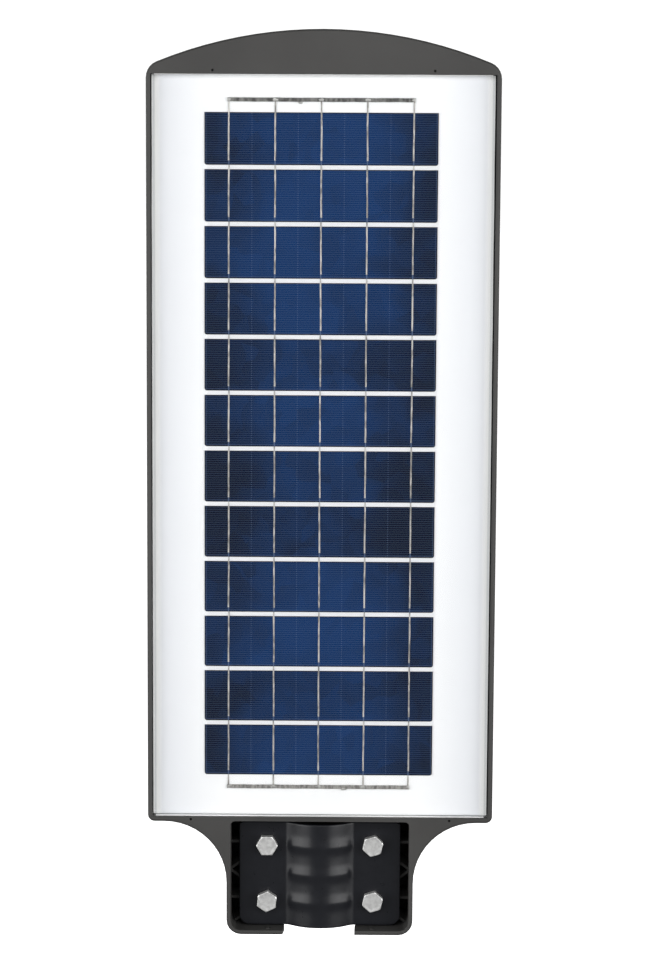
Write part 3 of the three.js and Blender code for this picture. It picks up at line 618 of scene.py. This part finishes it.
def clamp_plate():
    half = (PLATE[1].x - PLATE[0].x) / 2
    low, high = PLATE[0].z, PLATE[1].z
    crest = PLATE[0].y + 1.2 * MM
    pole_radius = 25.4 * MM
    thick = 3.7 * MM
    outer_radius = pole_radius + thick
    axis_y = crest + outer_radius
    flange_back = PLATE[1].y
    flange_front = flange_back - thick
    rounding = 0.8 * MM
    low_corner, high_corner = 7 * MM, 3 * MM
    bolts = [middle(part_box(name)) for name in BOLT_NODES]
    hole_radius = 4.6 * MM
    ring_low, ring_high = min(b.z for b in bolts), max(b.z for b in bolts)
    rings = [ring_low, (ring_low + ring_high) / 2, ring_high]
    ring_height, ring_spread = 1.05 * MM, 3.9 * MM
    ring_end, ring_fade = 19 * MM, 5 * MM
    blend = 3.4 * MM

    def ring_rise(x, z):
        share = max(0.0, min(1.0, (abs(x) - ring_end) / ring_fade))
        rise = sum(math.exp(-(((z - ring) / ring_spread) ** 2)) for ring in rings)
        return ring_height * rise * (1 - share * share * (3 - 2 * share))

    def z_range(x):
        past_low = max(0.0, abs(x) - (half - low_corner))
        past_high = max(0.0, abs(x) - (half - high_corner))
        z0 = low + low_corner - math.sqrt(max(0.0, low_corner**2 - past_low**2))
        z1 = high - high_corner + math.sqrt(max(0.0, high_corner**2 - past_high**2))
        return z0, z1

    def zs_at(x):
        z0, z1 = z_range(x)
        edge = edge_steps(rounding)
        count = 100
        body = [
            z0 + rounding + (z1 - z0 - 2 * rounding) * i / count for i in range(1, count)
        ]
        return [z0 + e for e in edge] + body + [z1 - e for e in reversed(edge)]

    def edge_drop(x, z):
        z0, z1 = z_range(x)
        inside = min(half - abs(x), z - z0, z1 - z)
        if inside >= rounding:
            return 0.0
        return rounding - math.sqrt(max(0.0, rounding**2 - (rounding - inside) ** 2))

    def arch(x, radius):
        return axis_y - math.sqrt(max(0.0, radius**2 - x * x))

    def soft_lower(a, b):
        """The lower of two depths, blended where they meet."""
        share = max(0.0, min(1.0, 0.5 + (b - a) / (2 * blend)))
        return b + (a - b) * share - blend * share * (1 - share)

    def front(x, z):
        y = flange_front
        radius = outer_radius + ring_rise(x, z)
        if abs(x) < radius:
            y = soft_lower(arch(x, radius), flange_front)
        return y + edge_drop(x, z)

    def back(x, z):
        y = flange_back
        if abs(x) < pole_radius:
            y = min(flange_back, arch(x, pole_radius))
        return y - edge_drop(x, z)

    edge = edge_steps(rounding)
    flank, coarse, fine = 26 * MM, 2.2 * MM, 0.75 * MM
    xs = [-half + e for e in edge]
    xs += spread(-half + rounding, -flank, coarse)[1:]
    xs += spread(-flank, flank, fine)[1:]
    xs += spread(flank, half - rounding, coarse)[1:]
    xs += [half - e for e in reversed(edge)][1:]
    bm = sheet_grid(xs, zs_at, front, back)
    plate = add_piece("clamp_plate_moulding", bm, "clamp", "clamp", ("clamp_plate",), angle=40)
    for bolt in bolts:
        drill(plate, Vector((bolt.x, 0, bolt.z)), hole_radius)


def drill(piece, centre, radius):
    """Cuts a round hole along Y right through a piece."""
    bpy.ops.mesh.primitive_cylinder_add(
        vertices=40,
        radius=radius,
        depth=200 * MM,
        location=centre,
        rotation=(math.pi / 2, 0, 0),
    )
    tool = bpy.context.object
    cut = piece.modifiers.new("hole", "BOOLEAN")
    cut.operation = "DIFFERENCE"
    cut.object = tool
    cut.solver = "EXACT"
    bpy.context.view_layer.update()
    graph = bpy.context.evaluated_depsgraph_get()
    done = bpy.data.meshes.new_from_object(piece.evaluated_get(graph))
    piece.modifiers.remove(cut)
    piece.data = done
    bpy.data.objects.remove(tool)


# ---------- fasteners ----------


def hexagon_radius(flat_radius, turn):
    """The distance from the centre to a hexagon's outline, as a function of the angle."""
    sixth = math.pi / 3

    def radius(angle):
        off = (angle - turn) % sixth - sixth / 2
        return flat_radius / math.cos(off)

    return radius


def hex_bolt(index, node, turn):
    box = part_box(node)
    centre = middle(box)
    top = box[0].y
    head = 5.3 * MM
    flat_radius = 6.5 * MM
    outline = hexagon_radius(flat_radius - 0.02 * MM, turn)
    chamfer_start, chamfer_slope = 6.75 * MM, 0.35
    dish = 0.1 * MM
    round_over = 0.15 * MM

    rings = [
        (0.10, dish),
        (0.55, dish),
        (0.74, dish),
        (0.79, dish * 0.55),
        (0.83, 0.04 * MM),
        (0.87, 0.0),
        (0.94, 0.0),
        (0.98, 0.04 * MM),
        (1.00, round_over),
    ]

    def radius_at(share):
        return lambda angle: outline(angle) * share

    def depth_at(share, drop):
        def depth(angle):
            past = max(0.0, outline(angle) * share - chamfer_start)
            return top + drop + chamfer_slope * past
        return depth

    radii = [radius_at(share) for share, _ in rings]
    depths = [depth_at(share, drop) for share, drop in rings]
    seat = top + head
    for share, depth in ((1.0, seat - 0.25 * MM), (0.965, seat)):
        radii.append(radius_at(share))
        depths.append(lambda angle, depth=depth: depth)

    # Full thread from just under the head to the tip.
    major, pitch, cut = 4.0 * MM, 1.25 * MM, 0.62 * MM
    tip, tip_chamfer, tip_plain = box[1].y, 0.9 * MM, 1.2 * MM
    per_turn = 8
    turns = (tip - tip_plain - seat) / pitch
    radii.append(lambda angle: major)
    depths.append(lambda angle: seat)
    for i in range(int(turns * per_turn) + 1):
        y = seat + 0.15 * MM + i * pitch / per_turn

        def thread(angle, y=y):
            phase = ((y - seat) / pitch - angle / (2 * math.pi)) % 1.0
            return major - cut * abs(2 * phase - 1)

        radii.append(thread)
        depths.append(lambda angle, y=y: y)
    radii.append(lambda angle: major - tip_chamfer)
    depths.append(lambda angle: tip)
    bm = polar_solid(radii, depths, 72, centre)
    add_piece(f"hex_bolt_{index}", bm, f"bolt_{index}", "steel", (node,), angle=28)


def cross_screw(index, node):
    """Pan head with a cross recess."""
    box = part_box(node)
    centre = middle(box)
    face = box[1].y
    head_radius = (box[1].x - box[0].x) / 2
    head_thick, crown_drop, shank_radius = 2.1 * MM, 0.9 * MM, 1.3 * MM
    recess_reach, recess_half, recess_deep = 1.5 * MM, 0.36 * MM, 0.9 * MM
    shares = [0.04, 0.12, 0.2, 0.28, 0.36, 0.44, 0.5, 0.54, 0.62, 0.74, 0.86, 0.95, 1.0]

    def crown(share):
        return face - crown_drop * share**3

    def depth_at(share):
        def depth(angle):
            x = abs(math.cos(angle)) * share * head_radius
            z = abs(math.sin(angle)) * share * head_radius
            y = crown(share)
            if min(x, z) < recess_half and max(x, z) < recess_reach:
                y -= recess_deep * (1 - 0.4 * max(x, z) / recess_reach)
            return y
        return depth

    radii = [lambda angle, s=s: s * head_radius for s in shares]
    depths = [depth_at(s) for s in shares]
    seat = face - head_thick
    for radius, y in ((head_radius, seat), (shank_radius, seat), (shank_radius, box[0].y)):
        radii.append(lambda angle, r=radius: r)
        depths.append(lambda angle, y=y: y)
    bm = polar_solid(radii, depths, 48, centre)
    add_piece(f"cross_screw_{index}", bm, "root", "steel", (node,), angle=35)


# ---------- cell string ----------


def add_strip(bm, middle_x, path, width, thick, sway=0.0, phase=0.0):
    """A flat strip along a path of (y, z) points, swaying a little from side to side."""
    rings = []
    for y, z in path:
        slow = sway * math.sin(z * 55 + phase)
        x = middle_x + slow + 0.4 * sway * math.sin(z * 160 + 2 * phase)
        half = width / 2
        rings.append(
            [
                bm.verts.new((x - half, y, z)),
                bm.verts.new((x - half * 0.8, y - thick / 2, z)),
                bm.verts.new((x + half * 0.8, y - thick / 2, z)),
                bm.verts.new((x + half, y, z)),
                bm.verts.new((x + half * 0.8, y + thick / 2, z)),
                bm.verts.new((x - half * 0.8, y + thick / 2, z)),
            ]
        )
    join_rings(bm, rings)


def cell_ribbons():
    """Each ribbon lies on the face of one strip and passes behind the strip above it."""
    width, thick, sway = 0.98 * MM, 0.14 * MM, 0.12 * MM
    on_face = CELL_TOP[0].y - 0.13 * MM
    behind = CELL_TOP[1].y + 0.12 * MM
    start = 3.0 * MM
    bus_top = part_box("top_bus_ribbon")
    bus_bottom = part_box("bottom_bus_ribbon")
    for column, (x, node) in enumerate(zip(TAB_XS, TAB_NODES)):
        whole = bmesh.new()
        for row, cell in enumerate(CELL_NODES):
            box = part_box(cell)
            low, high = box[0].z, box[1].z
            path = [(on_face, low + start + (high - low - start) * i / 16) for i in range(17)]
            if row == 0:
                path.append((on_face, high + 2 * MM))
                path.append((on_face, bus_top[0].z + 1.5 * MM))
            else:
                path.append((on_face * 0.6 + behind * 0.4, high + 1.1 * MM))
                path.append((behind, high + 2.4 * MM))
                path.append((behind, high + 7 * MM))
            add_strip(whole, x, path, width, thick, sway, column * 1.7 + row * 2.3)
        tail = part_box(CELL_NODES[-1])[0].z
        path = [(behind, tail + 6 * MM), (behind, tail - 1 * MM), (on_face, tail - 3 * MM)]
        path.append((on_face, bus_bottom[1].z - 1.5 * MM))
        add_strip(whole, x, path, width, thick)
        add_piece(f"cell_ribbon_{column + 1}", whole, "root", "ribbon", (node,), angle=60)


def cell_strips():
    """The strips: square corners at the top, where they were cut, and rounded ones below."""
    radius = 1.6 * MM
    for number, node in enumerate(CELL_NODES, start=1):
        low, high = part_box(node)
        points = [(low.x, high.z), (high.x, high.z)]
        for x, start in ((high.x - radius, 0), (low.x + radius, -90)):
            for i in range(5):
                angle = math.radians(start - 22.5 * i)
                z = low.z + radius + radius * math.sin(angle)
                points.append((x + radius * math.cos(angle), z))
        bm = plate_from(points, low.y, high.y)
        add_piece(f"cell_strip_{number:02d}", bm, "root", "solar_cell", (node,))


def solder_dome(bm, x, face, z, half_x, half_z, rise):
    """A low blob of solder with an uneven outline."""
    rings = [(1.0, 0.0), (0.8, 0.55), (0.45, 0.92)]
    loops = []
    for share, height in rings:
        loop = []
        for i in range(16):
            angle = 2 * math.pi * i / 16
            uneven = 0.14 * math.sin(3 * angle + 900 * x) + 0.08 * math.sin(5 * angle)
            wobble = share * (1 + uneven)
            at_x = x + half_x * wobble * math.cos(angle)
            at_z = z + half_z * wobble * math.sin(angle)
            loop.append(bm.verts.new((at_x, face - rise * height, at_z)))
        loops.append(loop)
    join_rings(bm, loops)


def bus_ribbons():
    """The end ribbons, soldered to every tab, each with one spare blob."""
    for name in ("top_bus_ribbon", "bottom_bus_ribbon"):
        low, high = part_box(name)
        bm = bmesh.new()
        count = 60
        rings = []
        for i in range(count + 1):
            x = low.x + (high.x - low.x) * i / count
            sag = 0.05 * MM * math.sin(i * 0.5) + 0.04 * MM * math.sin(i * 1.3)
            edge = 0.1 * MM
            rings.append(
                [
                    bm.verts.new((x, low.y, low.z + edge + sag)),
                    bm.verts.new((x, low.y, high.z - edge + sag)),
                    bm.verts.new((x, high.y, high.z - edge + sag)),
                    bm.verts.new((x, high.y, low.z + edge + sag)),
                ]
            )
        join_rings(bm, rings)
        material = MATERIALS["bus" if name.startswith("top") else "ribbon"]
        add_piece(f"{name}_strip", bm, "root", "ribbon", (name,), material=material)
        blobs = bmesh.new()
        z = (low.z + high.z) / 2
        for x in TAB_XS:
            reach = (1.2 if x in (TAB_XS[0], TAB_XS[-1]) else 1.9) * MM
            solder_dome(blobs, x, low.y, z, reach, 1.0 * MM, 0.2 * MM)
        if name.startswith("top"):
            spare_x, spare_z = CELL_MIDDLE_X - 14 * MM, low.z - 0.6 * MM
            half_x, half_z = 1.6 * MM, 0.8 * MM
        else:
            spare_x, spare_z = CELL_MIDDLE_X + 17.5 * MM, low.z - 0.2 * MM
            half_x, half_z = 2.0 * MM, 0.7 * MM
        solder_dome(blobs, spare_x, low.y, spare_z, half_x, half_z, 0.2 * MM)
        solder = MATERIALS["solder"]
        add_piece(f"{name}_solder", blobs, "root", "ribbon", material=solder, angle=60)


def painted_gap_glow_strips():
    """Painted light: white strips in the gap at the panel's upper and lower edges, which keep the
    gap from showing its shadow and stand in for the glass edge glowing white.
    """
    gap = 0.36 * MM
    front, back = GLASS[0].y + 0.1 * MM, GLASS[1].y
    bm = bmesh.new()
    width = GLASS[1].x - GLASS[0].x - 4 * MM
    x = middle(GLASS).x
    for z in (GLASS[0].z - gap / 2, GLASS[1].z + gap / 2):
        add_box(bm, x, (front + back) / 2, z, width, back - front, gap)
    add_piece("painted_gap_glow_strips", bm, "root", "seal", material=MATERIALS["gap_glow"])


def painted_gap_shadows():
    """Painted shade: black strips in the shadowed gap on each side, lapping onto the glass, more at
    the top.
    """
    bm = bmesh.new()
    low_z, high_z = GLASS[0].z + 2 * MM, GLASS[1].z + 0.3 * MM
    face, back = GLASS[0].y - 0.12 * MM, GLASS[1].y
    for side, edge, wide_low, wide_high in (
        (-1, GLASS[0].x, 0.15 * MM, 0.5 * MM),
        (1, GLASS[1].x, 0.2 * MM, 0.45 * MM),
    ):
        outer = side * POCKET_HALF_WIDTH
        rings = []
        for i in range(41):
            z = low_z + (high_z - low_z) * i / 40
            lap = wide_low + (wide_high - wide_low) * (i / 40) ** 2
            inner = edge - side * (lap + 0.06 * MM * math.sin(i * 1.1))
            rings.append(
                [
                    bm.verts.new((outer, face + 0.3 * MM, z)),
                    bm.verts.new(((outer + inner) / 2, face, z)),
                    bm.verts.new((inner, face + 0.1 * MM, z)),
                    bm.verts.new((edge + side * 0.02 * MM, back, z)),
                    bm.verts.new((outer, back, z)),
                ]
            )
        join_rings(bm, rings)
    add_piece("painted_side_gap_shadows", bm, "root", "seal", material=MATERIALS["gap_shadow"])


# ---------- LED modules ----------


def led_modules():
    rows, pitch = 6, 15.6 * MM
    package_side, package_thick, package_middle = 3.4 * MM, 0.8 * MM, 0.45 * MM
    phosphor_middle = 0.95 * MM
    for index, (lens, board) in enumerate(zip(LENS_NODES, BOARD_NODES), start=1):
        lens_box, board_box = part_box(lens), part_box(board)
        centre = middle(lens_box)
        places = [
            (centre.x + (i - (rows - 1) / 2) * pitch, centre.z + (j - (rows - 1) / 2) * pitch)
            for i in range(rows)
            for j in range(rows)
        ]
        lens_plate(index, lens, lens_box, places)
        packages = bmesh.new()
        domes = bmesh.new()
        face = board_box[1].y
        for x, z in places:
            y = face + package_middle
            add_box(packages, x, y, z, package_side, package_thick, package_side)
            bmesh.ops.create_cone(
                domes,
                cap_ends=True,
                segments=20,
                radius1=1.35 * MM,
                radius2=1.2 * MM,
                depth=0.2 * MM,
                matrix=Matrix.Translation((x, face + phosphor_middle, z))
                @ Matrix.Rotation(-math.pi / 2, 4, "X"),
            )
        add_piece(f"led_packages_{index}", packages, "root", "led_board")
        resin = MATERIALS["phosphor"]
        add_piece(f"led_phosphor_{index}", domes, "root", "led_board", material=resin)


def lens_plate(index, node, box, places):
    """The clear plate with a low oblong dome over every LED."""
    centre = middle(box)
    half = (box[1].x - box[0].x) / 2
    block = 49 * MM
    seat = box[0].y
    face = seat + 3.7 * MM
    block_face = face + 1.0 * MM
    crest = box[1].y - 0.1 * MM
    corner = 4 * MM
    dome_x, dome_z = 7.0 * MM, 6.2 * MM
    slope_half, bevel_width, bevel_slope = 0.8 * MM, 0.8 * MM, 0.6
    hollow, hollow_margin = 2.2 * MM, 2 * MM
    rim, coarse, fine = 1 * MM, 2.5 * MM, 0.78 * MM

    def grid_lines():
        edge = [0.0, rim / 2, rim]
        xs = [-half + e for e in edge]
        xs += spread(-half + rim, -block - rim, coarse)[1:]
        xs += spread(-block - rim, block + rim, fine)[1:]
        xs += spread(block + rim, half - rim, coarse)[1:]
        xs += [half - e for e in reversed(edge)][1:]
        return xs

    base = grid_lines()

    def squeeze(x):
        past = max(0.0, abs(x - centre.x) - (half - corner))
        return (half - corner + math.sqrt(max(0.0, corner**2 - past**2))) / half

    def zs_at(x):
        return [centre.z + z * squeeze(x) for z in base]

    def front(x, z):
        reach = max(abs(x - centre.x), abs(z - centre.z))
        step = max(0.0, min(1.0, (block + slope_half - reach) / (2 * slope_half)))
        y = face + (block_face - face) * step * step * (3 - 2 * step)
        y -= max(0.0, reach - (half - bevel_width)) * bevel_slope
        if reach < block:
            best = min(
                ((x - px) / dome_x) ** 2 + ((z - pz) / dome_z) ** 2 for px, pz in places
            )
            if best < 1:
                y += (crest - block_face) * math.sqrt(1 - best)
        return y

    def back(x, z):
        reach = max(abs(x - centre.x), abs(z - centre.z))
        return seat + (hollow if reach < block - hollow_margin else 0.0)

    xs = [centre.x + x for x in base]
    bm = sheet_grid(xs, zs_at, front, back)
    add_piece(f"lens_array_{index}", bm, "root", "lens", (node,), angle=35)


# ---------- everything on the object ----------


def head_turn(node):
    """The angle of a bolt head's first corner, read from the CAD solid."""
    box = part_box(node)
    centre = middle(box)
    verts = frame["nodes"][node].data.vertices
    reach = [
        (math.hypot(v.co.x - centre.x, v.co.z - centre.z), v.co)
        for v in verts
        if v.co.y < box[0].y + 5 * MM
    ]
    _, corner = max(reach, key=lambda item: (round(item[0], 5), item[1].z))
    return math.atan2(corner.z - centre.z, corner.x - centre.x) % (math.pi / 3)


def dress_nodes():
    """Gives every CAD node the finish of its slot."""
    slots = {row["node"]: row["material_slot"] for row in frame["record"]["subparts"]}
    for name, node in frame["nodes"].items():
        node.data.materials.clear()
        node.data.materials.append(MATERIALS[slots[name]])


dress_nodes()
refined("housing_shell", "housing", "root", "housing", 0.45 * MM)
clamp_plate()
for number, node_name in enumerate(BOLT_NODES, start=1):
    hex_bolt(number, node_name, head_turn(node_name))
for number, node_name in enumerate(NUT_NODES, start=1):
    refined(f"hex_nut_{number}", node_name, "root", "steel", 0.35 * MM)
for number, node_name in enumerate(SCREW_NODES, start=1):
    cross_screw(number, node_name)
cell_strips()
cell_ribbons()
bus_ribbons()
painted_gap_glow_strips()
painted_gap_shadows()
led_modules()
refined("button", "button_cap", "button", "button", 0.4 * MM)
refined("sensor_cover", "sensor_dome", "root", "sensor_dome", 0.2 * MM, angle=50)
refined("indicator", "indicator_lens", "root", "indicator", 0.15 * MM)


# ---------- studio ----------


LIGHT_AIM = (0, 0, 0.31)
FLOOR_RADIUS, FLOOR_DROP = 30, 0.5
SKY_AS_LIGHT, SKY_AS_SEEN = 0.22, 1.1
CAMERA_PLACE = (0.0131, -1.8165, 0.5482)
CAMERA_PITCH, CAMERA_ROLL, CAMERA_YAW = 7.369, 0.3, -0.4
CAMERA_LENS = 99.23


def area_light(name, place, width, height, watts):
    data = bpy.data.lights.new(name, "AREA")
    data.shape = "RECTANGLE"
    data.size = width
    data.size_y = height
    data.energy = watts
    lamp = bpy.data.objects.new(name, data)
    lamp.location = place
    aim = Vector(LIGHT_AIM) - Vector(place)
    lamp.rotation_euler = aim.to_track_quat("-Z", "Y").to_euler()
    bpy.context.scene.collection.objects.link(lamp)


def floor():
    made = Surface("studio_floor", (0.9, 0.9, 0.9), 0.8)
    cloud = made.noise(3, detail=2)
    made.colour(made.mix(made.ramp(cloud, 0.3, 0.7), (0.89, 0.89, 0.89), (0.92, 0.92, 0.92)))
    made.shader.inputs["Emission Color"].default_value = (1, 1, 1, 1)
    made.shader.inputs["Emission Strength"].default_value = 1.0
    mesh = bpy.data.meshes.new("studio_floor")
    bm = bmesh.new()
    bmesh.ops.create_circle(bm, cap_ends=True, segments=96, radius=FLOOR_RADIUS)
    bmesh.ops.translate(bm, verts=bm.verts, vec=(0, 0, HOUSING[0].z - FLOOR_DROP))
    bm.to_mesh(mesh)
    bm.free()
    mesh.materials.append(made.material)
    ground = bpy.data.objects.new("studio_floor", mesh)
    bpy.context.scene.collection.objects.link(ground)
    ground.visible_diffuse = False
    ground.visible_glossy = False


def sky():
    """Plain white behind the object, dimmer as a light so that the glass stays dark."""
    world = bpy.data.worlds.new("studio")
    world.use_nodes = True
    tree = world.node_tree
    background = tree.nodes["Background"]
    background.inputs["Color"].default_value = (1, 1, 1, 1)
    seen = tree.nodes.new("ShaderNodeLightPath")
    strength = tree.nodes.new("ShaderNodeMapRange")
    tree.links.new(seen.outputs["Is Camera Ray"], strength.inputs["Value"])
    strength.inputs["To Min"].default_value = SKY_AS_LIGHT
    strength.inputs["To Max"].default_value = SKY_AS_SEEN
    tree.links.new(strength.outputs[0], background.inputs["Strength"])
    bpy.context.scene.world = world


def camera():
    data = bpy.data.cameras.new("camera")
    data.sensor_width = 36
    data.lens = CAMERA_LENS
    view = bpy.data.objects.new("camera", data)
    turn = (
        Matrix.Rotation(math.radians(CAMERA_ROLL), 3, "Y")
        @ Matrix.Rotation(math.radians(CAMERA_PITCH), 3, "X")
        @ Matrix.Rotation(math.radians(CAMERA_YAW), 3, "Z")
    )
    right, forward, up = turn.row
    basis = Matrix((right, up, -forward)).transposed()
    view.matrix_world = Matrix.Translation(CAMERA_PLACE) @ basis.to_4x4()
    bpy.context.scene.collection.objects.link(view)
    bpy.context.scene.camera = view


floor()
sky()
camera()
for side in (-1, 1):
    area_light(f"softbox_near_{side}", (1.28 * side, -1.52, 0.34), 0.9, 1.5, 16.5)
    area_light(f"softbox_far_{side}", (1.95 * side, -0.95, 0.36), 1.1, 1.5, 22)
    area_light(f"back_softbox_{side}", (1.3 * side, 1.5, 0.6), 0.8, 1.4, 22)
area_light("softbox_top", (0, -1.62, 1.3), 1.3, 0.6, 9)
bpy.context.scene.view_settings.view_transform = "Standard"
